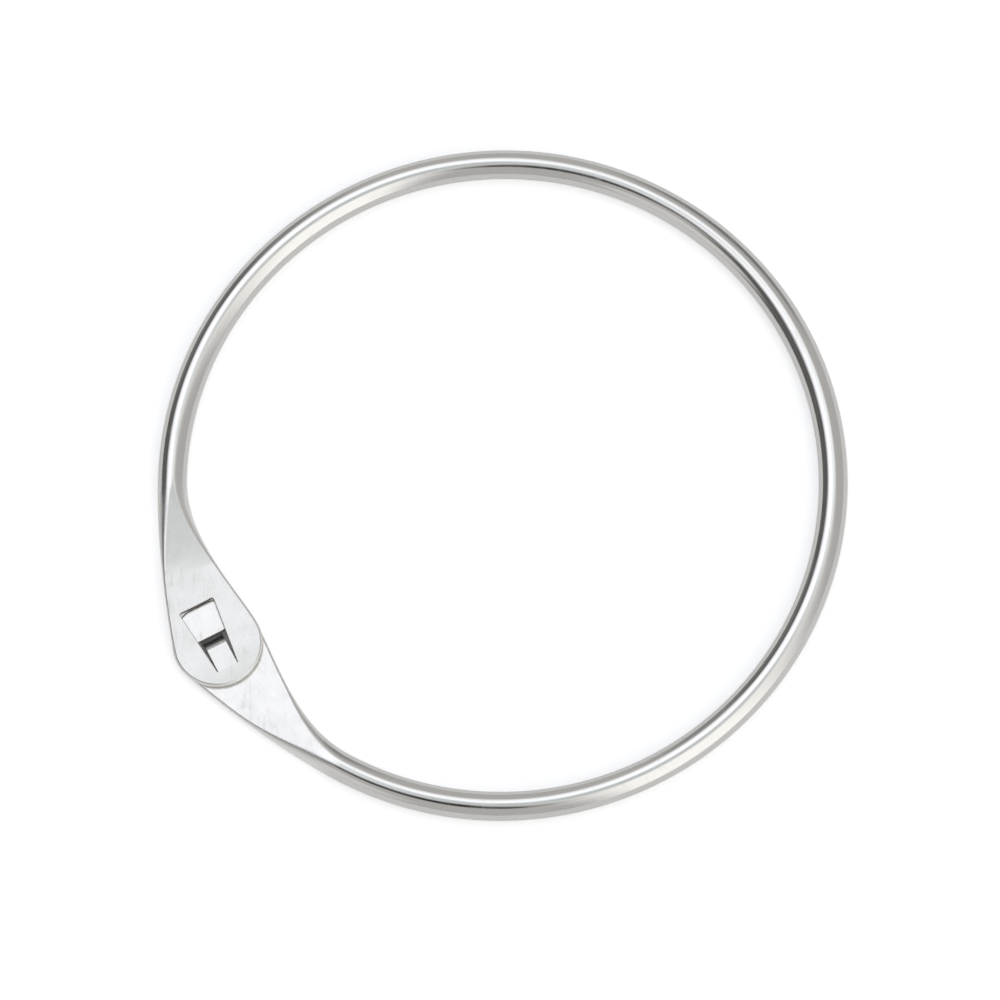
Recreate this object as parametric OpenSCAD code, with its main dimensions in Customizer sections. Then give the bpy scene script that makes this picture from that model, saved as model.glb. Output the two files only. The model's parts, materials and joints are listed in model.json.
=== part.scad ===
// Key ring: a single length of plated steel wire, bent into a circle. Each end
// is pressed into a flat tongue with a round tip. The tongues lap face to face.
// A hook, cut and bent out of the upper tongue, passes through a slot in the
// lower one and holds its tip from below. Squeezing the ring frees the hook.
//
// The origin is the centre of the ring, half-way up the wire. The ring lies
// flat, and +Z points out of the side that the hook's window is seen from.

/* [Ring] */
// Outside diameter of the ring
ring_d = 76.2; // [64:0.1:120]
// Diameter of the round wire
wire_d = 3.2; // [3.1:0.1:4.2]
// Direction of the clasp, turned from +X
clasp_angle = 210; // [0:1:359]

/* [Tongues] */
// Thickness of each tongue where it is fully flat
tongue_t = 0.7; // [0.5:0.05:0.75]
// Width of each tongue at its round tip
tongue_w = 9.9; // [8.6:0.1:12]
// Distance from the centre of the round tip back to the full round wire
taper_l = 20; // [16:0.5:24]
// How fast the width fades from the tip to the wire
taper_power = 1.3; // [1.1:0.05:1.6]
// Length back from the tip's centre over which the upper face stays level
level_l = 8.5; // [4:0.5:11]
// Distance by which the tip's centre lies inside the wire's own circle
tip_inset = 0.35; // [0:0.05:1]
// Turn of the tongue at its tip away from the wire's own circle
tip_turn = 7.5; // [0:0.5:12]
// Depth of the rounding along the tongue's edge
edge_depth = 0.3; // [0.1:0.05:0.6]
// Gap between the faces of the lapped tongues
lap_gap = 0.06; // [0.02:0.01:0.2]
// Distance by which the lower tip's centre passes the clasp's middle
lower_past = 0.2; // [0:0.05:0.6]

/* [Window] */
// Length of the window in the upper tongue
window_l = 7.8; // [7.2:0.1:8.6]
// Width of the window at its end nearer the wire
window_w = 4.1; // [3.4:0.1:5]
// Clearance on each side of the hook at its root
root_side_gap = 0.05; // [0.02:0.01:0.4]

/* [Hook] */
// Turn of the hook, its window and its slot out of the clasp's middle line
hook_turn = 3; // [0:0.5:6]
// Distance by which the hook's middle lies outside the round tips' centres
hook_offset = 0.25; // [0:0.05:0.5]
// Width of the hook
hook_w = 2.4; // [1.6:0.1:2.8]
// Length of the hook's upper, nearly level part
tab_l = 2.4; // [2:0.1:3]
// Slope of that part
tab_slope = 5; // [0:1:10]
// Slope of the ramp that leads down through the slot
ramp_slope = 58; // [45:1:65]
// Inside radius of the hook's bends
bend_r = 0.2; // [0.1:0.05:0.4]
// Distance that the foot reaches under the lower tongue's bar
foot_reach = 1.4; // [0.8:0.1:2.2]
// Clearance between the foot and the bar above it
foot_gap = 0.04; // [0.02:0.01:0.08]
// Free travel between the end of the ramp and the edge of the bar
catch_play = 0.3; // [0.1:0.05:0.6]

/* [Slot] */
// Length of the bar between the lower tongue's tip and its slot
bar_l = 4; // [3.4:0.1:4.4]
// Length of the slot that the hook passes through
slot_l = 4.3; // [4:0.1:5]
// Width of the slot
slot_w = 4; // [3.2:0.1:4.6]
// Corner radius of the slot and of the window's wide end
corner_r = 0.25; // [0.1:0.05:0.4]

/* [Hidden] */
$fn = 48;

ring_r = (ring_d - wire_d) / 2;
wire_r = wire_d / 2;
tip_r = tongue_w / 2;
tip_x = ring_r - tip_inset;

// Heights of the upper tongue's two faces
face_low = lap_gap / 2;
face_high = face_low + tongue_t;

// The tongue grows out of the wire's cut end, a hair smaller than the wire
join_step = 0.02;
join_l = 0.6;
stem_r = wire_r - join_step;
taper_turn = taper_l / ring_r * 180 / PI;

// The lower face turns level before the other tongue's tip reaches it
tip_clearance = 2.1;
lap_l = tip_r + lower_past + tip_clearance;

// Steps along a tongue, around half of its tip, over its edge and round the
// corners of its opening, and the turn of each step of a bend
taper_steps = 22;
tip_steps = 16;
edge_steps = 8;
corner_steps = 24;
bend_step = 9;

// The tongue's middle line is a curve from the tip's centre to the wire
wire_end = ring_r * [cos(taper_turn), -sin(taper_turn)];
wire_heading = [sin(taper_turn), cos(taper_turn)];

function tip_centre(reach) = [tip_x, reach];
function handle(reach) = norm(tip_centre(reach) - wire_end) / 3;
function line_points(reach) = [
    tip_centre(reach),
    tip_centre(reach) - handle(reach) * [sin(tip_turn), cos(tip_turn)],
    wire_end + handle(reach) * wire_heading,
    wire_end
];
// Place on the middle line, with t = 0 at the tip's centre and 1 at the wire
function place(p, t) =
    t > 1
    ? p[3] - (t - 1) * taper_l * wire_heading
    : pow(1 - t, 3) * p[0]
        + 3 * t * pow(1 - t, 2) * p[1]
        + 3 * t * t * (1 - t) * p[2]
        + t * t * t * p[3];
function slope(p, t) =
    pow(1 - t, 2) * (p[0] - p[1])
    + 2 * t * (1 - t) * (p[1] - p[2])
    + t * t * (p[2] - p[3]);
// Direction along the tongue, towards its tip
function heading(p, t) = t > 1 ? wire_heading : slope(p, t) / norm(slope(p, t));
function left_of(d) = [-d[1], d[0]];

// Soft step from 0 to 1, and its use between two lengths along the tongue
function soft(u) = u <= 0 ? 0 : u >= 1 ? 1 : u * u * (3 - 2 * u);
function fade(t, level) = soft((t * taper_l - level) / (taper_l - level));
function blend(a, b, k) = a + (b - a) * k;

// Section of the tongue at t: half width, edge depth and the two heights
function half_w(t) = blend(stem_r, tip_r, pow(1 - pow(min(t, 1), taper_power), 2));
function edge(t) = blend(edge_depth, stem_r - join_step, fade(t, lap_l));
function top(t) = blend(face_high, stem_r, fade(t, level_l));
function bottom(t) = blend(face_low, -stem_r, fade(t, lap_l));

// Points over the edge at one station, from the upper face to the lower one
function rim(centre, out, t) = [
    for (k = [0 : edge_steps])
        let (
            a = 90 - 180 * k / edge_steps,
            far = half_w(t) - edge(t) + edge(t) * cos(a),
            mid = (top(t) + bottom(t)) / 2,
            half = (top(t) - bottom(t)) / 2
        )
        [centre[0] + far * out[0], centre[1] + far * out[1], mid + half * sin(a)]
];

// Upper tongue, solid, with the clasp's middle on +X and its own wire at -Y.
// reach is how far the tip's centre stands past the clasp's middle.
module tongue_blank(reach) {
    p = line_points(reach);
    start_t = 1 + join_l / taper_l;
    stations = [start_t, for (i = [taper_steps : -1 : 0]) i / taper_steps];
    tip_left = left_of(heading(p, 0));
    tip_ahead = heading(p, 0);
    rims = [
        for (t = stations)
            rim(place(p, t), left_of(heading(p, t)), t),
        for (j = [1 : tip_steps - 1])
            let (a = 180 * j / tip_steps)
            rim(p[0], cos(a) * tip_left + sin(a) * tip_ahead, 0),
        for (i = [len(stations) - 1 : -1 : 0])
            rim(place(p, stations[i]), -left_of(heading(p, stations[i])), stations[i])
    ];
    points = [for (r = rims) each r];
    row = edge_steps + 1;
    last = len(rims) - 1;
    side = len(stations) - 1;
    walls = [
        for (r = [0 : last - 1], k = [0 : edge_steps - 1])
            let (a = r * row + k, b = a + row)
            each [[a, a + 1, b + 1], [a, b + 1, b]]
    ];
    faces_along = [
        for (r = [0 : side - 1])
            let (a = r * row, b = (last - r) * row)
            each [
                [a, a + row, b - row],
                [a, b - row, b],
                [b + edge_steps, b - row + edge_steps, a + row + edge_steps],
                [b + edge_steps, a + row + edge_steps, a + edge_steps]
            ]
    ];
    tip_top = [for (r = [side : last - side]) r * row];
    tip_bottom = [for (r = [last - side : -1 : side]) r * row + edge_steps];
    stem_end = [
        for (k = [edge_steps : -1 : 0]) k,
        for (k = [0 : edge_steps]) last * row + k
    ];
    polyhedron(points, concat(walls, faces_along, [tip_top, tip_bottom, stem_end]), 4);
}

hook_x = tip_x + hook_offset;

// Edge of the bar that the hook holds, measured from the clasp's middle
bar_y = bar_l - tip_r - lower_past;
foot_z = -(face_high + foot_gap + tongue_t / 2);
tab_z = (face_low + face_high) / 2;
bend_mid_r = bend_r + tongue_t / 2;

// Run and drop of a bend between two slopes
function bend_run(a, b) = bend_mid_r * abs(sin(b) - sin(a));
function bend_drop(a, b) = bend_mid_r * abs(cos(a) - cos(b));

ramp_drop = tab_z - foot_z - tab_l * sin(tab_slope)
    - bend_drop(0, tab_slope) - bend_drop(tab_slope, ramp_slope) - bend_drop(ramp_slope, 0);
ramp_l = ramp_drop / sin(ramp_slope);

// Places along the clasp where the hook's parts meet
foot_y = bar_y + catch_play;
ramp_low_y = foot_y + bend_run(ramp_slope, 0);
ramp_high_y = ramp_low_y + ramp_l * cos(ramp_slope);
tab_low_y = ramp_high_y + bend_run(tab_slope, ramp_slope);
root_y = tab_low_y + tab_l * cos(tab_slope) + bend_run(0, tab_slope);
root_bury = 0.5;

// Middle of the hook's strip along a bend, starting at y, z with slope a
function bend_points(y, z, a, b) =
    let (turn_down = b > a ? 1 : -1, steps = max(2, ceil(abs(b - a) / bend_step)))
    [
        for (i = [0 : steps])
            let (c = blend(a, b, i / steps))
            [
                y - turn_down * bend_mid_r * (sin(c) - sin(a)),
                z - turn_down * bend_mid_r * (cos(a) - cos(c)),
                c
            ]
    ];
function end_of(list) = list[len(list) - 1];
function ahead(q, l) = [q[0] - l * cos(q[2]), q[1] - l * sin(q[2])];

root_bend = bend_points(root_y, tab_z, 0, tab_slope);
ramp_start = ahead(end_of(root_bend), tab_l);
ramp_bend = bend_points(ramp_start[0], ramp_start[1], tab_slope, ramp_slope);
foot_start = ahead(end_of(ramp_bend), ramp_l);
foot_bend = bend_points(foot_start[0], foot_start[1], ramp_slope, 0);
hook_line = concat(
    [[root_y + root_bury, tab_z, 0]],
    root_bend,
    ramp_bend,
    foot_bend,
    [[bar_y - foot_reach, foot_z, 0]]
);
function beside(q, d) = [q[0] - d * sin(q[2]), q[1] + d * cos(q[2])];

// Hook: a strip of the tongue's own thickness, bent down to pass the slot
module hook() {
    upper_side = [for (q = hook_line) beside(q, tongue_t / 2)];
    lower_side = [for (i = [len(hook_line) - 1 : -1 : 0]) beside(hook_line[i], -tongue_t / 2)];
    translate([hook_x, 0, 0])
        rotate([0, 0, -hook_turn])
            translate([-hook_w / 2, 0, 0])
                rotate([90, 0, 90])
                    linear_extrude(hook_w)
                        polygon(concat(upper_side, lower_side));
}

// Straight-sided opening with round corners, cut right through a tongue
module opening(low_y, high_y, low_w, high_w, high_r) {
    translate([hook_x, 0, -wire_d])
        rotate([0, 0, -hook_turn])
            linear_extrude(2 * wire_d)
                hull()
                    for (side = [-1, 1]) {
                        translate([side * (low_w / 2 - corner_r), low_y + corner_r])
                            circle(corner_r, $fn = corner_steps);
                        translate([side * (high_w / 2 - high_r), high_y - high_r])
                            circle(high_r, $fn = corner_steps);
                    }
}

module upper_tongue() {
    difference() {
        tongue_blank(0);
        opening(root_y - window_l, root_y, window_w, hook_w + 2 * root_side_gap, root_side_gap);
    }
    hook();
}

// The lower tongue is the same blank turned over, with the hook's slot in it
module lower_tongue() {
    difference() {
        rotate([180, 0, 0])
            tongue_blank(lower_past);
        opening(bar_y, bar_y + slot_l, slot_w, slot_w, corner_r);
    }
}

// Round wire between the two tongues
module wire() {
    rotate([0, 0, taper_turn])
        rotate_extrude(angle = 360 - 2 * taper_turn, $fn = 180)
            translate([ring_r, 0])
                circle(wire_r);
}

module key_ring() {
    color("silver")
        rotate([0, 0, clasp_angle]) {
            wire();
            upper_tongue();
            lower_tongue();
        }
}

key_ring();
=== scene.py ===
import json
import math

import bmesh
import bpy
import numpy as np
from mathutils import Matrix, Vector

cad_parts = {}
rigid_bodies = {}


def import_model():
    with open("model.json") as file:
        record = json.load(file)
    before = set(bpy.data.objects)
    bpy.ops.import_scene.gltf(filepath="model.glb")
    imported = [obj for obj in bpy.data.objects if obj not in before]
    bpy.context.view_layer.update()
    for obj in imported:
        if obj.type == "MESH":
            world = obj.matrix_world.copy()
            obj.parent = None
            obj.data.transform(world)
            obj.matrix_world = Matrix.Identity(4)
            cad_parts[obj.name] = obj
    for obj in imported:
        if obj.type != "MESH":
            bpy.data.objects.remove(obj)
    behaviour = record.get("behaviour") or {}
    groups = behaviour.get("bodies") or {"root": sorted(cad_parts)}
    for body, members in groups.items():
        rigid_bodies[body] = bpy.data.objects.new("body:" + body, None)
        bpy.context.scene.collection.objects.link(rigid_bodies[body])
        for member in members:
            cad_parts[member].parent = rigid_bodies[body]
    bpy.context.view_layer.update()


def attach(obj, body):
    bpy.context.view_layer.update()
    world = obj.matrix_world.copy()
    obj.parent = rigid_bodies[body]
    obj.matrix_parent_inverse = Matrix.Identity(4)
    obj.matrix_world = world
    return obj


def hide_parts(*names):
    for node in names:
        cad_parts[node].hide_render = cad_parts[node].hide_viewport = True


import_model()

scene = bpy.context.scene
perMm = 0.001
# How near two points must be to merge, in mm: on the swept body, on the tools
# that cut it and on the finished ring
merge = {"body": 0.0015, "tool": 1e-5, "joined": 1e-4}


# sRGB hex to linear light
def tint(code):
    parts = [int(code[i:i + 2], 16) / 255 for i in (0, 2, 4)]
    linear = [p / 12.92 if p <= 0.04045 else ((p + 0.055) / 1.055) ** 2.4 for p in parts]
    return tuple(linear) + (1.0,)


# One shader node with its settings; an input is a value or a socket to link
def addNode(tree, kind, inputs=None, **settings):
    node = tree.nodes.new(kind)
    for name, value in settings.items():
        setattr(node, name, value)
    for key, value in (inputs or {}).items():
        if isinstance(value, bpy.types.NodeSocket):
            tree.links.new(value, node.inputs[key])
        else:
            node.inputs[key].default_value = value
    return node


# 0 below low, 1 above high, and a soft step between
def soft(value, low, high):
    share = np.clip((value - low) / (high - low), 0, 1)
    return share * share * (3 - 2 * share)


def meshFrom(name, points, faces):
    mesh = bpy.data.meshes.new(name)
    mesh.from_pydata(points.reshape(-1, 3).tolist(), [], faces)
    mesh.update()
    return mesh


# Merges doubled points, then turns every face outwards
def closeUp(mesh, reach):
    work = bmesh.new()
    work.from_mesh(mesh)
    bmesh.ops.remove_doubles(work, verts=work.verts, dist=reach)
    bmesh.ops.dissolve_degenerate(work, edges=work.edges, dist=reach)
    bmesh.ops.recalc_face_normals(work, faces=work.faces)
    work.to_mesh(mesh)
    work.free()
    mesh.update()


# Four-sided faces, from four grids of their corners' numbers
def quads(a, b, c, d):
    return np.stack([a.ravel(), b.ravel(), c.ravel(), d.ravel()], 1).tolist()


# Closed solid through rows of points, each row once round the same outline
def solidThrough(name, points):
    ids = np.arange(points.shape[0] * points.shape[1]).reshape(points.shape[:2])
    after = np.roll(ids, -1, 1)
    faces = quads(ids[:-1], after[:-1], after[1:], ids[1:])
    faces += [ids[0, ::-1].tolist(), ids[-1].tolist()]
    mesh = meshFrom(name, points, faces)
    closeUp(mesh, merge["tool"])
    return mesh


def addObject(name, mesh):
    made = bpy.data.objects.new(name, mesh)
    scene.collection.objects.link(made)
    return made


# Gives an object the mesh that its modifiers make, in their place
def workIn(thing):
    bpy.context.view_layer.update()
    seen = thing.evaluated_get(bpy.context.evaluated_depsgraph_get())
    made = bpy.data.meshes.new_from_object(seen)
    thing.modifiers.clear()
    thing.data = made
    return made


# Millimetres, with the clasp's middle on +X and the upper tongue's wire at -Y.
# lapL and levelL run from a tip's centre to where the tongue's inner face and
# its outer face start to leave the flat.
ring = {
    "outerD": 76.2, "wireD": 3.2, "claspAngle": 210,
    "tongueT": 0.7, "tongueW": 9.9, "taperL": 20, "taperPower": 1.3,
    "lapL": 7.25, "levelL": 8.5, "edgeDepth": 0.3, "lapGap": 0.06,
    "tipInset": 0.35, "tipTurn": 7.5, "lowerPast": 0.2,
    "edgeSteps": 24, "taperSteps": 96, "tipSteps": 40, "wireSteps": 300,
}
ringR = (ring["outerD"] - ring["wireD"]) / 2
wireR = ring["wireD"] / 2
tipR = ring["tongueW"] / 2
tipX = ringR - ring["tipInset"]
faceLow = ring["lapGap"] / 2
faceHigh = faceLow + ring["tongueT"]
taperTurn = ring["taperL"] / ringR


# Middle line of a tongue: a cubic curve from the tip's centre, t = 0, to the
# wire, t = 1, with its handles a third of the straight distance long
def middleLine(tipY, t):
    tipTurn = math.radians(ring["tipTurn"])
    p0 = np.array([tipX, tipY])
    p3 = ringR * np.array([math.cos(taperTurn), -math.sin(taperTurn)])
    handle = np.linalg.norm(p0 - p3) / 3
    p1 = p0 - handle * np.array([math.sin(tipTurn), math.cos(tipTurn)])
    p2 = p3 + handle * np.array([math.sin(taperTurn), math.cos(taperTurn)])
    s = t[:, None]
    place = (1 - s) ** 3 * p0 + 3 * s * (1 - s) ** 2 * p1 + 3 * s * s * (1 - s) * p2 + s ** 3 * p3
    slope = (1 - s) ** 2 * (p0 - p1) + 2 * s * (1 - s) * (p1 - p2) + s * s * (p2 - p3)
    return place, slope / np.linalg.norm(slope, axis=1)[:, None]


# Stations of one tongue from its tip's end to the wire. Each row holds the
# centre, the inner and the outer direction, half the width of the flat, the
# depth of the rounded edge and the two heights.
def tongueStations(tipY):
    aim = np.linspace(math.pi / 2, 0, ring["tipSteps"] + 1)[:-1]
    t = np.linspace(0, 1, ring["taperSteps"] + 1)
    place, heading = middleLine(tipY, t)
    left = np.stack([-heading[:, 1], heading[:, 0]], 1)
    swing = np.cos(aim)[:, None] * left[0]
    rise = np.sin(aim)[:, None] * heading[0]
    centre = np.vstack([np.repeat(place[:1], len(aim), 0), place])
    inner = np.vstack([rise + swing, left])
    outer = np.vstack([rise - swing, -left])
    back = np.concatenate([np.zeros(len(aim)), t])
    lap = soft(back * ring["taperL"], ring["lapL"], ring["taperL"])
    level = soft(back * ring["taperL"], ring["levelL"], ring["taperL"])
    halfW = wireR + (tipR - wireR) * (1 - back ** ring["taperPower"]) ** 2
    edge = ring["edgeDepth"] + (wireR - ring["edgeDepth"]) * lap
    high = faceHigh + (wireR - faceHigh) * level
    low = faceLow + (-wireR - faceLow) * lap
    sizes = np.stack([np.maximum(halfW - edge, 0), edge, high, low], 1)
    return np.hstack([centre, inner, outer, sizes])


# The lower tongue is the same blank turned over about the clasp's middle
def turnedOver(rows):
    made = rows[::-1].copy()
    made[:, [1, 3, 5]] *= -1
    made[:, [8, 9]] = -made[:, [9, 8]]
    return made


upper = tongueStations(0.0)
lower = turnedOver(tongueStations(ring["lowerPast"]))
wireTurn = -np.linspace(taperTurn, 2 * math.pi - taperTurn, ring["wireSteps"] + 1)[1:-1]
radial = np.stack([np.cos(wireTurn), np.sin(wireTurn)], 1)
wireSizes = np.tile([0, wireR, wireR, -wireR], (len(wireTurn), 1))
wire = np.hstack([ringR * radial, -radial, radial, wireSizes])
stations = np.vstack([upper, wire, lower])

# Edge at a station, over an angle from the upper face to the lower one:
# out = flat + depth * cosine, height = middle + half thickness * sine
over = np.linspace(math.pi / 2, -math.pi / 2, ring["edgeSteps"] + 1)
flatHalf, edgeDepth, high, low = (stations[:, i:i + 1] for i in (6, 7, 8, 9))
out = flatHalf + edgeDepth * np.cos(over)
height = (high + low) / 2 + (high - low) / 2 * np.sin(over)
sides = [
    np.concatenate([
        stations[:, None, :2] + out[:, :, None] * stations[:, None, first:first + 2],
        height[:, :, None],
    ], 2)
    for first in (2, 4)
]
bodyPoints = np.stack(sides, 1)
index = np.arange(bodyPoints.size // 3).reshape(bodyPoints.shape[:3])
bodyFaces = []
for side in (0, 1):
    grid = index[:, side]
    bodyFaces += quads(grid[:-1, :-1], grid[:-1, 1:], grid[1:, 1:], grid[1:, :-1])
for border in (0, -1):
    first, second = index[:, 0, border], index[:, 1, border]
    bodyFaces += quads(first[:-1], first[1:], second[1:], second[:-1])
body = meshFrom("ringBody", bodyPoints, bodyFaces)
closeUp(body, merge["body"])
print("ring body:", len(body.vertices), "points")

# Window, slot and hook. The punch rolls the openings' edges over a little.
hook = {
    "turn": 3, "offset": 0.25, "width": 2.4, "thick": 0.694, "edgeR": 0.07,
    "barL": 4.0, "slotL": 4.3, "slotW": 4.0, "cornerR": 0.25,
    "windowL": 7.8, "windowW": 4.1, "sideGap": 0.05, "rollOver": 0.09, "exitRound": 0.03,
    "tabL": 2.4, "tabSlope": 5, "rampSlope": 58, "bendR": 0.2, "bury": 0.5, "catchPlay": 0.3,
    "footReach": 1.4, "footGap": 0.04, "footR": 0.7, "footNarrow": 0.8,
    "bendStep": 3, "leastBend": 3,
    "cornerSteps": 8, "rollSteps": 6, "footSteps": 12, "edgeSteps": 4,
}
hookX = tipX + hook["offset"]
barY = hook["barL"] - tipR - ring["lowerPast"]
footZ = -(faceHigh + hook["footGap"] + ring["tongueT"] / 2)
tabZ = (faceLow + faceHigh) / 2
bendMidR = hook["bendR"] + ring["tongueT"] / 2
tabA, rampA = math.radians(hook["tabSlope"]), math.radians(hook["rampSlope"])


# Run and drop of the strip's middle round a bend, from one slope to another
def bendRun(a, b):
    return bendMidR * abs(math.sin(b) - math.sin(a))


def bendDrop(a, b):
    return bendMidR * abs(math.cos(a) - math.cos(b))


rampDrop = (tabZ - footZ - hook["tabL"] * math.sin(tabA)
            - bendDrop(0, tabA) - bendDrop(tabA, rampA) - bendDrop(rampA, 0))
rampL = rampDrop / math.sin(rampA)
rootY = (barY + hook["catchPlay"] + bendRun(rampA, 0) + rampL * math.cos(rampA)
         + bendRun(tabA, rampA) + hook["tabL"] * math.cos(tabA) + bendRun(0, tabA))


# Outline of a straight-sided opening with round corners, as points and the
# outward direction at each, from (half width, y, radius) at its two ends
def outline(low, high):
    corners = []
    for side, (half, y, r), start in ((1, low, -90), (1, high, 0), (-1, high, 90), (-1, low, 180)):
        turn = np.radians(start + np.linspace(0, 90, hook["cornerSteps"] + 1))
        toward = np.stack([np.cos(turn), np.sin(turn)], 1)
        middle = [hookX + side * (half - r), y + (r if y == low[1] else -r)]
        corners.append(np.hstack([middle + r * toward, toward]))
    return np.vstack(corners)


# Closed solid of one outline at given heights and widenings
def stack(name, border, levels):
    return solidThrough(name, np.stack([
        np.hstack([border[:, :2] + grow * border[:, 2:], np.full((len(border), 1), z)])
        for z, grow in levels
    ]))


# Heights and widenings of a punched wall from one face to the other: a
# quarter circle at each lip, then a little more so that the cut runs clear
def lips(nearZ, farZ, nearR, farR):
    way = 1 if farZ > nearZ else -1
    turn = np.linspace(math.pi / 2, 0, hook["rollSteps"] + 1)
    near = [(nearZ + way * nearR * (1 - math.sin(a)), nearR * (1 - math.cos(a))) for a in turn]
    far = [(farZ - way * farR * (1 - math.sin(a)), farR * (1 - math.cos(a))) for a in turn]
    before, after = (nearZ - way * ring["lapGap"] / 3, nearR), (farZ + way, farR)
    return [before] + near + [((nearZ + farZ) / 2, 0.0)] + far[::-1] + [after]


windowShape = outline(
    (hook["windowW"] / 2, rootY - hook["windowL"], hook["cornerR"]),
    (hook["width"] / 2 + hook["sideGap"], rootY, hook["sideGap"]),
)
slotShape = outline(
    (hook["slotW"] / 2, barY, hook["cornerR"]),
    (hook["slotW"] / 2, barY + hook["slotL"], hook["cornerR"]),
)
windowCut = stack("windowCut", windowShape, lips(
    faceLow, faceHigh, hook["exitRound"], hook["rollOver"]))
slotCut = stack("slotCut", slotShape, lips(
    -faceLow, -faceHigh, hook["rollOver"], hook["exitRound"]))


# Middle of the strip round one bend: y, z and slope, from slope a to slope b
def bendPoints(y, z, a, b):
    turnDown = 1 if b > a else -1
    steps = int(abs(math.degrees(b - a)) / hook["bendStep"]) + 1
    slope = np.linspace(a, b, max(hook["leastBend"], steps))
    return np.stack([
        y - turnDown * bendMidR * (np.sin(slope) - math.sin(a)),
        z - turnDown * bendMidR * (math.cos(a) - np.cos(slope)),
        slope,
    ], 1)


# Where the next bend starts, a straight run further down the slope
def ahead(point, run):
    y, z, slope = point
    return y - run * math.cos(slope), z - run * math.sin(slope)


rootBend = bendPoints(rootY, tabZ, 0, tabA)
rampBend = bendPoints(*ahead(rootBend[-1], hook["tabL"]), tabA, rampA)
footBend = bendPoints(*ahead(rampBend[-1], rampL), rampA, 0)
footTurn = np.linspace(0, math.pi / 2, hook["footSteps"] + 1)
footY = barY - hook["footReach"] + hook["footR"] * (1 - np.sin(footTurn))
foot = np.stack([footY, np.full_like(footY, footZ), np.zeros_like(footY)], 1)
strip = np.vstack([[[rootY + hook["bury"], tabZ, 0]], rootBend, rampBend, footBend, foot])
# The foot's corners are rounded in plan
narrow = np.zeros(len(strip))
narrow[-len(foot):] = hook["footR"] * (1 - np.cos(footTurn)) * hook["footNarrow"]
cornerTurn = np.radians(np.concatenate([
    start + np.linspace(0, 90, hook["edgeSteps"] + 1) for start in (0, 90, 180, 270)]))
corner = np.array([[1, 1], [-1, 1], [-1, -1], [1, -1]]).repeat(hook["edgeSteps"] + 1, 0)
sectionX = corner[:, 0] * (hook["width"] / 2 - hook["edgeR"]) + hook["edgeR"] * np.cos(cornerTurn)
sectionZ = corner[:, 1] * (hook["thick"] / 2 - hook["edgeR"]) + hook["edgeR"] * np.sin(cornerTurn)
stripPoints = np.stack([
    hookX + sectionX * (1 - narrow[:, None] / (hook["width"] / 2)),
    strip[:, 0:1] - sectionZ * np.sin(strip[:, 2:3]),
    strip[:, 1:2] + sectionZ * np.cos(strip[:, 2:3]),
], 2)
hookStrip = solidThrough("hookStrip", stripPoints)

keyRing = addObject("keyRing", body)
hookTurn = math.radians(hook["turn"])
aside = (Matrix.Translation((hookX, 0, 0)) @ Matrix.Rotation(-hookTurn, 4, "Z")
         @ Matrix.Translation((-hookX, 0, 0)))
tools = [addObject(mesh.name, mesh) for mesh in (windowCut, slotCut, hookStrip)]
for tool, operation in zip(tools, ("DIFFERENCE", "DIFFERENCE", "UNION")):
    tool.data.transform(aside)
    change = keyRing.modifiers.new(tool.name, "BOOLEAN")
    change.object, change.operation, change.solver = tool, operation, "EXACT"
solid = workIn(keyRing)
for tool in tools:
    bpy.data.objects.remove(tool)
closeUp(solid, merge["joined"])
print("ring with its clasp:", len(solid.vertices), "points")

# What the finish changes with, worked out at each point. A pair is where a
# change starts and where it is full: in shares of the taper's length for
# pressed, in 1 less the normal's upright part for rim, and otherwise in mm of
# depth or height. The leans are slopes, and upperLean is given at leanAt.
zones = {
    "pressed": (0.78, 1.0), "rim": (0.04, 0.35),
    "windowDeep": (0.02, 0.3), "windowLow": (0.002, 0.028), "slotDeep": (0.005, 0.2),
    "rampShade": (-0.42, 0.05),
    "slack": 0.01, "hookSlack": 0.002, "pastBar": 0.1, "pastRoot": 0.05,
    "pastUpperTip": 0.15, "pastLowerTip": 0.35,
    "leanAt": (-16, -11, -8, 1, 5), "upperLean": (-0.13, -0.07, 0, 0.01, -0.02),
    "lowerLean": 0.065, "tabLean": -0.07,
}
spot = np.empty(len(solid.vertices) * 3)
solid.vertices.foreach_get("co", spot)
spot = spot.reshape(-1, 3)
alongClasp, heightAt = spot[:, 1], spot[:, 2]
# Distance along the ring from the clasp's middle, over the taper's length
taperAt = np.abs(np.arctan2(spot[:, 1], spot[:, 0])) * ringR / ring["taperL"]
pressed = 1 - soft(taperAt, *zones["pressed"])
# The same points in the hook's own directions
sideways = (spot[:, 0] - hookX) * math.cos(hookTurn) - spot[:, 1] * math.sin(hookTurn)
along = (spot[:, 0] - hookX) * math.sin(hookTurn) + spot[:, 1] * math.cos(hookTurn)
windowEnd = rootY - hook["windowL"]
windowHalf = np.interp(along, [windowEnd, rootY],
                       [hook["windowW"] / 2, hook["width"] / 2 + hook["sideGap"]])
lip = hook["rollOver"] + zones["slack"]
inWindow = ((heightAt > 0) & (np.abs(sideways) < windowHalf + lip)
            & (along > windowEnd - lip) & (along < rootY + lip))
inSlot = ((heightAt < 0) & (np.abs(sideways) < hook["slotW"] / 2 + lip)
          & (along > barY - lip) & (along < barY + hook["slotL"] + lip))
onHook = ((np.abs(sideways) < hook["width"] / 2 + zones["hookSlack"])
          & (along < rootY + zones["slack"])
          & ((along > barY + zones["pastBar"]) | (heightAt < -faceHigh - zones["slack"])))
# How deep a point lies in the openings: 0 on the faces, 1 far down a wall
windowDeep = soft(faceHigh - heightAt, *zones["windowDeep"])
windowDeep *= soft(heightAt - faceLow, *zones["windowLow"])
slotDeep = soft(np.minimum(heightAt + faceHigh, -faceLow - heightAt), *zones["slotDeep"])
# Where the finish paints shade, with some grime: down the openings' walls, and on the hook's ramp,
# growing as the ramp goes down
recess = np.where(inSlot, slotDeep, np.where(inWindow, windowDeep, 0))
recess = np.where(onHook & (inWindow | inSlot), soft(-heightAt, *zones["rampShade"]), recess)
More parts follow.
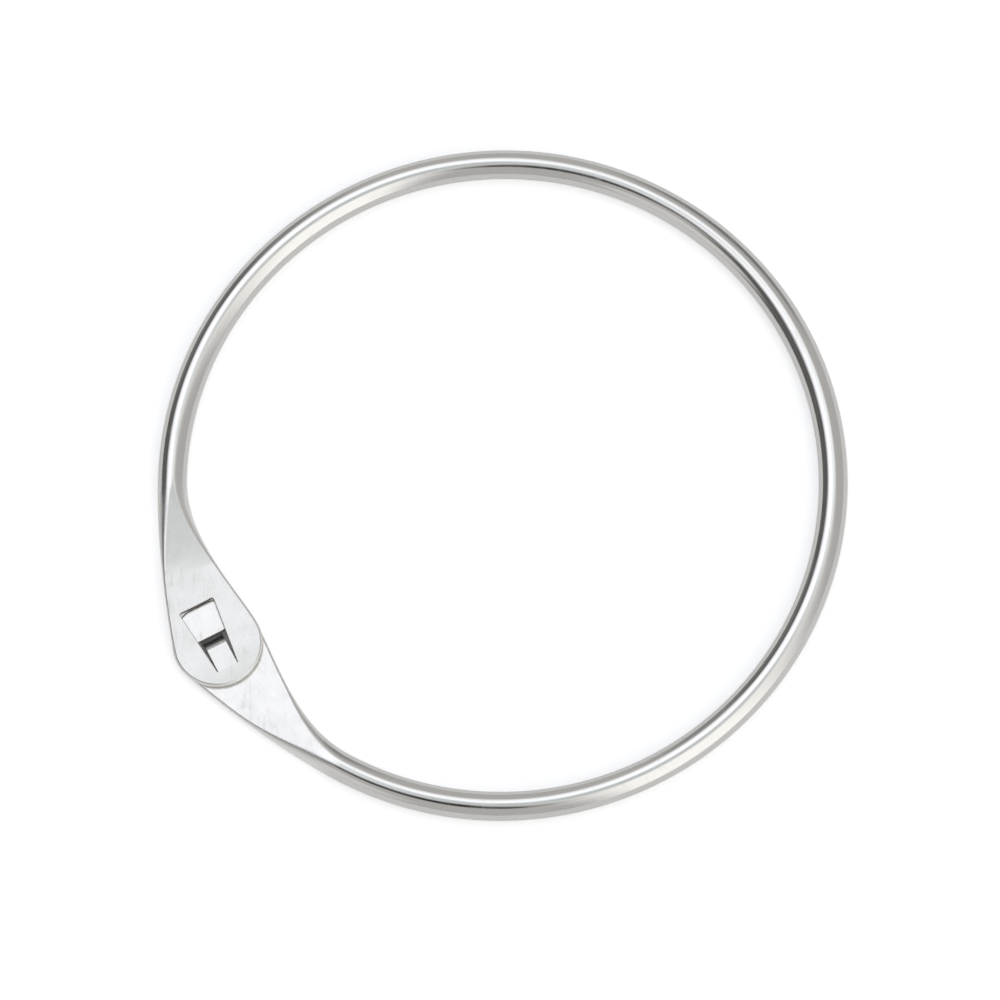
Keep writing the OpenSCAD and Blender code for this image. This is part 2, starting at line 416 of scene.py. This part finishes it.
# How far the pressed faces lean along the clasp from the plain shape: the
# ramps are straighter, and the lower tongue leans more than the upper one.
# The soft step that shapes a ramp climbs by 6 u (1 - u) at the share u.
onLower = ((alongClasp > tipR + zones["pastUpperTip"])
           | ((heightAt < 0) & (alongClasp > -tipR - zones["pastLowerTip"]) & ~onHook))
rampStart = np.where(onLower, ring["lapL"], ring["levelL"])
rampLength = ring["taperL"] - rampStart
rampAt = np.clip((np.abs(alongClasp) - rampStart) / rampLength, 0, 1)
climb = np.where(onLower, wireR + faceLow, -(wireR - faceHigh))
plainSlope = climb / rampLength * 6 * rampAt * (1 - rampAt)
upperSlope = np.interp(alongClasp, zones["leanAt"], zones["upperLean"])
faceLean = (np.where(onLower, zones["lowerLean"], upperSlope) - plainSlope) * pressed
onTab = onHook & (heightAt > 0) & (along < rootY - zones["pastRoot"])
faceLean[onTab] = zones["tabLean"]
# The pressed edge, where the surface turns away from the flat faces
normalAt = np.empty(len(solid.vertices) * 3)
solid.vertex_normals.foreach_get("vector", normalAt)
rim = pressed * soft(1 - np.abs(normalAt[2::3]), *zones["rim"])
changing = {"pressed": pressed, "recess": recess, "faceLean": faceLean, "rim": rim}
for name, values in changing.items():
    held = solid.attributes.new(name, "FLOAT", "POINT")
    held.data.foreach_set("value", values.astype(np.float32))

# Flat faces stay flat up to their borders. This is done in millimetres,
# because in metres the faces' areas are too small for it.
shading = {"sharpAngle": 38, "flatWeight": 60}
solid.shade_smooth()
solid.set_sharp_from_angle(angle=math.radians(shading["sharpAngle"]))
weighted = keyRing.modifiers.new("flatFaces", "WEIGHTED_NORMAL")
weighted.keep_sharp = True
weighted.weight = shading["flatWeight"]
solid = workIn(keyRing)
claspTurn = math.radians(ring["claspAngle"])
solid.transform(Matrix.Rotation(claspTurn, 4, "Z"))
solid.transform(Matrix.Scale(perMm, 4))

# Bright nickel on drawn steel wire. The eye gets crisp reflections, faint
# lines along the wire, and a softer sheen on the two pressed tongues. Pairs
# in the relief are for the wire and for the tongues.
finish = {
    # The pale colour on the pressed edges is a painted reflection, lighter than the nickel
    "nickel": "d8d6d2", "paintedEdgeSheen": "f4f3f0",
    # The dark colour is painted shade in the openings and on the hook's ramp, with some grime
    "shadeAndGrime": "4a4846", "shadeAndGrimeWhere": (0.3, 0.7), "shadeAndGrimeShare": (0.85, 1.0),
    "wireRough": 0.12, "tongueRough": 0.26,
    "moreRough": {"wave": 0.22, "lines": 0.10, "recess": 0.2, "rim": 0.4, "scratch": 0.10},
    "lineMm": 0.16, "lineLengthMm": 5, "grainMm": 0.12, "waveMm": 2.6,
    "scratchMm": 1.3, "scratchSets": ((18, 45), (-52, 35)),
    "scratchEdge": (0.004, 0.022), "scratchWhere": (0.46, 0.62),
    "reliefMm": 0.01, "reliefStrength": 0.5, "lineRelief": (0.45, 0.12),
    "grainRelief": (0.10, 0.35), "waveRelief": (0.8, 4.0), "scratchRelief": -0.25,
}
nickel = bpy.data.materials.new("brightNickelPlate")
nickel.use_nodes = True
tree = nickel.node_tree
tree.nodes.clear()
onObject = addNode(tree, "ShaderNodeTexCoord").outputs["Object"]
pressedAt, recessAt, leanAt, rimAt = (
    addNode(tree, "ShaderNodeAttribute", attribute_name=name).outputs["Fac"]
    for name in changing)


# These add to the tree in hand. All but the last give back the output's socket.
def maths(operation, a, b, c=0.0, clamp=False):
    return addNode(tree, "ShaderNodeMath", {0: a, 1: b, 2: c},
                   operation=operation, use_clamp=clamp).outputs[0]


def ramp(value, low, high, toLow=0.0, toHigh=1.0):
    return addNode(tree, "ShaderNodeMapRange", {
        "Value": value, "From Min": low, "From Max": high,
        "To Min": toLow, "To Max": toHigh}).outputs[0]


def noise(vector, mm, detail):
    return addNode(tree, "ShaderNodeTexNoise", {
        "Vector": vector, "Scale": 1 / (mm * perMm), "Detail": detail,
        "Roughness": 0.55}).outputs["Fac"]


def blend(share, first, second):
    return addNode(tree, "ShaderNodeMix", {0: share, 6: first, 7: second},
                   data_type="RGBA").outputs[2]


def vectorMath(operation, a, b=(0, 0, 0), scale=1.0):
    return addNode(tree, "ShaderNodeVectorMath", {0: a, 1: b, 3: scale}, operation=operation)


# Drawing lines: a pattern in four directions, slow along the ring's turn and
# quick over the wire's section, so that it runs lengthwise without a seam.
# Real ones are finer; these are as coarse as the eye needs.
flat = vectorMath("MULTIPLY", onObject, (1, 1, 0)).outputs[0]
radius = vectorMath("LENGTH", flat).outputs["Value"]
toward = vectorMath("NORMALIZE", flat).outputs[0]
slow = vectorMath("SCALE", toward, scale=ringR / finish["lineLengthMm"]).outputs[0]
upright = addNode(tree, "ShaderNodeSeparateXYZ", {0: onObject}).outputs[2]
linePitch = finish["lineMm"] * perMm
quick = addNode(tree, "ShaderNodeCombineXYZ", {2: maths("DIVIDE", radius, linePitch)}).outputs[0]
lines = addNode(tree, "ShaderNodeTexNoise", {
    "Vector": vectorMath("ADD", slow, quick).outputs[0], "W": maths("DIVIDE", upright, linePitch),
    "Scale": 1.0, "Detail": 1.0, "Roughness": 0.6,
}, noise_dimensions="4D").outputs["Fac"]
grain = noise(onObject, finish["grainMm"], 1.0)
wave = noise(onObject, finish["waveMm"], 3.0)


# Hairline scratches: thin level curves of a stretched pattern
def hairlines(turnBy, stretch):
    laid = addNode(tree, "ShaderNodeMapping", {
        "Vector": onObject, "Rotation": (0, 0, math.radians(turnBy)), "Scale": (1, 1 / stretch, 1)})
    crest = noise(laid.outputs[0], finish["scratchMm"], 0.0)
    offCrest = maths("ABSOLUTE", maths("SUBTRACT", crest, 0.5), 0.0)
    return ramp(offCrest, *finish["scratchEdge"], 1.0, 0.0)


scratch = maths("MAXIMUM", *(hairlines(*each) for each in finish["scratchSets"]))
scratch = maths("MULTIPLY", scratch, ramp(wave, *finish["scratchWhere"]))

# The wire is polished by its drawing die. The tongues keep the press's satin.
more = finish["moreRough"]
rough = ramp(pressedAt, 0, 1, finish["wireRough"], finish["tongueRough"])
rough = maths("MULTIPLY_ADD", maths("SUBTRACT", wave, 0.5), more["wave"], rough)
rough = maths("MULTIPLY_ADD", maths("SUBTRACT", lines, 0.5), more["lines"], rough)
rough = maths("MULTIPLY_ADD", recessAt, more["recess"], rough)
rough = maths("MULTIPLY_ADD", rimAt, more["rim"], rough)
rough = maths("MULTIPLY_ADD", scratch, more["scratch"], rough, clamp=True)

# The pressed edges are painted paler, a painted reflection. The openings' walls and the hook's ramp
# are painted darker: painted shade, with some grime
base = blend(rimAt, tint(finish["nickel"]), tint(finish["paintedEdgeSheen"]))
shadeAndGrimeAt = ramp(wave, *finish["shadeAndGrimeWhere"], *finish["shadeAndGrimeShare"])
shadeAndGrimeAt = maths("MULTIPLY", recessAt, shadeAndGrimeAt, clamp=True)
base = blend(shadeAndGrimeAt, base, tint(finish["shadeAndGrime"]))

relief = maths("MULTIPLY", lines, ramp(pressedAt, 0, 1, *finish["lineRelief"]))
relief = maths("MULTIPLY_ADD", grain, ramp(pressedAt, 0, 1, *finish["grainRelief"]), relief)
relief = maths("MULTIPLY_ADD", wave, ramp(pressedAt, 0, 1, *finish["waveRelief"]), relief)
relief = maths("MULTIPLY_ADD", scratch, finish["scratchRelief"], relief)

# The faces' lean turns the direction that they mirror, back along the clasp
claspBack = (math.sin(claspTurn), -math.cos(claspTurn), 0)
leanBy = addNode(tree, "ShaderNodeVectorTransform", {
    0: vectorMath("SCALE", claspBack, scale=leanAt).outputs[0],
}, vector_type="VECTOR", convert_from="OBJECT", convert_to="WORLD").outputs[0]
leaning = vectorMath("ADD", addNode(tree, "ShaderNodeNewGeometry").outputs["Normal"], leanBy)
bump = addNode(tree, "ShaderNodeBump", {
    "Height": relief, "Strength": finish["reliefStrength"],
    "Distance": finish["reliefMm"] * perMm,
    "Normal": vectorMath("NORMALIZE", leaning.outputs[0]).outputs[0]})
shader = addNode(tree, "ShaderNodeBsdfPrincipled", {
    "Base Color": base, "Metallic": 1.0, "Roughness": rough, "Normal": bump.outputs[0]})
output = addNode(tree, "ShaderNodeOutputMaterial")
tree.links.new(shader.outputs[0], output.inputs["Surface"])
solid.materials.clear()
solid.materials.append(nickel)

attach(keyRing, "root")
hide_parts("key_ring")
print("nickel finish done")

# Floor: a pale sheet that the ring lies on, white to the eye, with the soft
# shadow that the lamps leave. The lift to white is for the camera's own look,
# and less of it for the metal's. It leaves out the patch in the clasp's shade,
# which is seen through the openings only. Lengths are in metres, and the
# patch's in mm.
ground = {
    "paper": "f2f2f2", "half": 1.5, "below": 0.00001, "lift": 0.45, "metalShare": 0.25,
    "shadeHalfMm": (2.6, 4.8), "shadeShiftMm": -1, "shadeFade": (0.9, 1.2),
}
floorCorners = ground["half"] * np.array([[-1, -1, 0], [1, -1, 0], [1, 1, 0], [-1, 1, 0]], float)
floorMesh = meshFrom("floor", floorCorners, [[0, 1, 2, 3]])
floor = addObject("floor", floorMesh)
floor.location.z = -wireR * perMm - ground["below"]
sheet = bpy.data.materials.new("whitePaper")
sheet.use_nodes = True
tree = sheet.node_tree
tree.nodes.clear()
paper = addNode(tree, "ShaderNodeBsdfDiffuse", {"Color": tint(ground["paper"])})
shadeMiddle = Vector((hookX, (barY + rootY) / 2 + ground["shadeShiftMm"], 0))
shadeX, shadeY = (length * perMm for length in ground["shadeHalfMm"])
shadeAt = addNode(tree, "ShaderNodeMapping", {
    "Vector": addNode(tree, "ShaderNodeTexCoord").outputs["Object"],
    "Location": Matrix.Rotation(claspTurn, 3, "Z") @ shadeMiddle * perMm,
    "Rotation": (0, 0, claspTurn - hookTurn), "Scale": (shadeX, shadeY, 1),
}, vector_type="TEXTURE")
offShade = ramp(vectorMath("LENGTH", shadeAt.outputs[0]).outputs["Value"],
                *ground["shadeFade"], 0.0, ground["lift"])
rays = addNode(tree, "ShaderNodeLightPath").outputs
seenBy = maths("MULTIPLY_ADD", rays["Is Glossy Ray"], ground["metalShare"], rays["Is Camera Ray"])
lift = addNode(tree, "ShaderNodeEmission", {"Strength": maths("MULTIPLY", seenBy, offShade)})
both = addNode(tree, "ShaderNodeAddShader", {0: paper.outputs[0], 1: lift.outputs[0]})
output = addNode(tree, "ShaderNodeOutputMaterial")
tree.links.new(both.outputs[0], output.inputs["Surface"])
floorMesh.materials.append(sheet)

# Studio: a grey room, a large soft box low round two sides, a lamp overhead
# with a dimmer middle, two dark cloths, two dim cards and a pale one. Each
# shape has a colour and a strength, and is cut by cones: angle from straight
# up, turn round, then the angles from there where it starts and is full.
studio = {
    "room": "c6c6c6",
    "shapes": [
        ("darkBack", "676767", 1.0, [((71, 166), 54, 44)]),
        ("darkSide", "3e3e3e", 1.0, [((12, 241), 24, 19)]),
        ("dimFront", "828282", 1.0, [((83, 137), 19, 14)]),
        ("dimRight", "868686", 1.0, [((72, 58), 21, 2)]),
        ("softBox", "ffffff", 1.4, [((90, 26), 103, 86), ((90, 232), 123, 88)]),
        ("overhead", "f5f8ff", 1.62, [((21, 131), 35, 5)]),
        ("dimOver", "d8dfe1", 1.0, [((3, 12), 17, 4)]),
        ("lowCard", "e8e8e8", 1.0, [((72, 226), 26, 10)]),
    ],
}


def direction(away, turned):
    a, b = math.radians(away), math.radians(turned)
    return math.sin(a) * math.cos(b), math.sin(a) * math.sin(b), math.cos(a)


world = bpy.data.worlds.new("studio")
scene.world = world
world.use_nodes = True
tree = world.node_tree
tree.nodes.clear()
lookingTo = addNode(tree, "ShaderNodeTexCoord").outputs["Generated"]
light = tint(studio["room"])
for name, shade, strength, cuts in studio["shapes"]:
    share = 1.0
    for (away, turned), start, full in cuts:
        towards = vectorMath("DOT_PRODUCT", lookingTo, direction(away, turned))
        share = maths("MULTIPLY", share, addNode(tree, "ShaderNodeMapRange", {
            "Value": towards.outputs["Value"],
            "From Min": math.cos(math.radians(start)), "From Max": math.cos(math.radians(full)),
        }, interpolation_type="SMOOTHSTEP").outputs[0])
    light = blend(share, light, tuple(strength * part for part in tint(shade)[:3]) + (1.0,))
toCamera = addNode(tree, "ShaderNodeLightPath").outputs["Is Camera Ray"]
sky = addNode(tree, "ShaderNodeBackground", {
    "Color": blend(toCamera, light, (1, 1, 1, 1)), "Strength": 1.0})
output = addNode(tree, "ShaderNodeOutputWorld")
tree.links.new(sky.outputs[0], output.inputs["Surface"])

# Camera: a long lens high over the ring
eye = {
    "lens": 400, "sensor": 36, "clip": (0.01, 20),
    "azimuth": 6.75, "elevation": 76, "roll": 6.8,
    "widthMm": 110.4, "aimRight": -0.28, "aimUp": -1.85,
}
azimuth, elevation, roll = (math.radians(eye[key]) for key in ("azimuth", "elevation", "roll"))
back = Vector((
    math.sin(azimuth) * math.cos(elevation), -math.cos(azimuth) * math.cos(elevation),
    math.sin(elevation)))
level = Vector((math.cos(azimuth), math.sin(azimuth), 0))
rise = back.cross(level)
right = level * math.cos(roll) - rise * math.sin(roll)
up = rise * math.cos(roll) + level * math.sin(roll)
camera = bpy.data.cameras.new("camera")
camera.lens = eye["lens"]
camera.sensor_width = eye["sensor"]
camera.clip_start, camera.clip_end = eye["clip"]
cameraObject = addObject("camera", camera)
aim = (right * eye["aimRight"] + up * eye["aimUp"]) * perMm
distance = eye["lens"] / eye["sensor"] * eye["widthMm"] * perMm
axes = Matrix((right, up, back)).transposed().to_4x4()
cameraObject.matrix_world = Matrix.Translation(aim + back * distance) @ axes
scene.camera = cameraObject
scene.view_settings.view_transform = "Standard"

bpy.context.view_layer.update()
print("stage and camera done")
